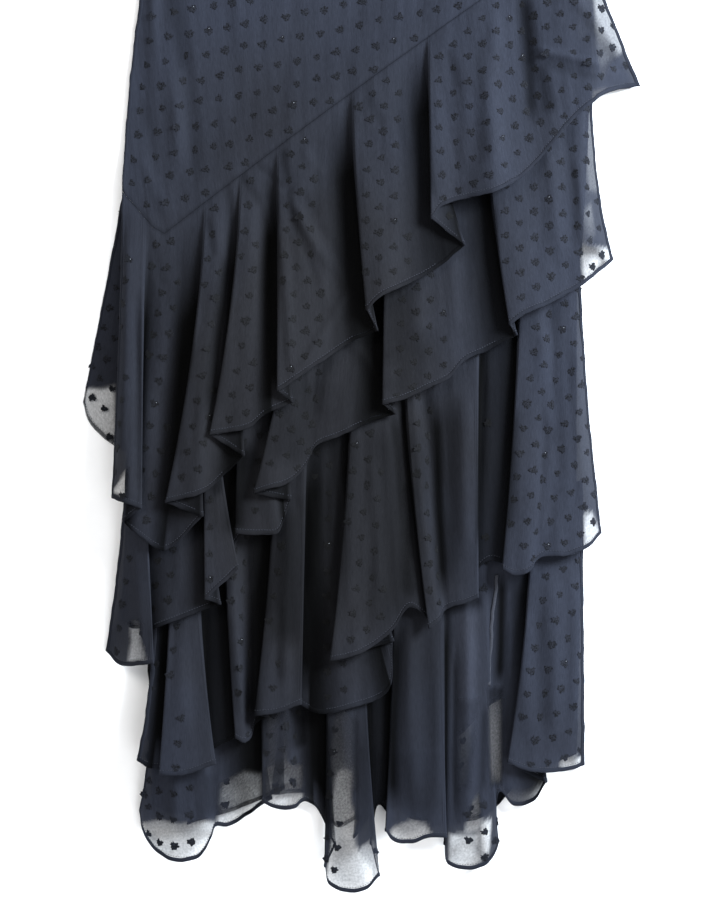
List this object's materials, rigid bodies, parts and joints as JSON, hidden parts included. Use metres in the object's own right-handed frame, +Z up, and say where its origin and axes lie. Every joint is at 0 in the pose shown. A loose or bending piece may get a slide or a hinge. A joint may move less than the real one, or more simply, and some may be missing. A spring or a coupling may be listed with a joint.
{
  "type": "ruffle dress",
  "caption": "Sleeveless maxi dress of sheer dark cloth, laid flat face up, with slanting tiers of folded ruffles over an opaque underskirt",
  "frame": {"origin": "under the middle of the laid dress, on the surface that it lies on", "axes": "+Y runs along the dress from the hem to the neck, +Z points up out of its front, +X to the right seen from above"},
  "size_m": [0.5612, 1.4651, 0.0479],
  "materials": {
    "chiffon": "sheer black woven chiffon with small clipped dots",
    "lining": "plain black opaque lining, matt"
  },
  "bodies": {
    "root": {"front_bodice": "chiffon", "back_bodice": "chiffon", "front_yoke": "chiffon", "back_yoke": "chiffon", "front_underskirt": "lining", "back_underskirt": "lining", "ruffle_1_front": "chiffon", "ruffle_2_front": "chiffon", "ruffle_3_front": "chiffon", "ruffle_4_front": "chiffon", "ruffle_1_back": "chiffon", "ruffle_2_back": "chiffon", "ruffle_3_back": "chiffon", "ruffle_4_back": "chiffon"}
  },
  "joints": []
}
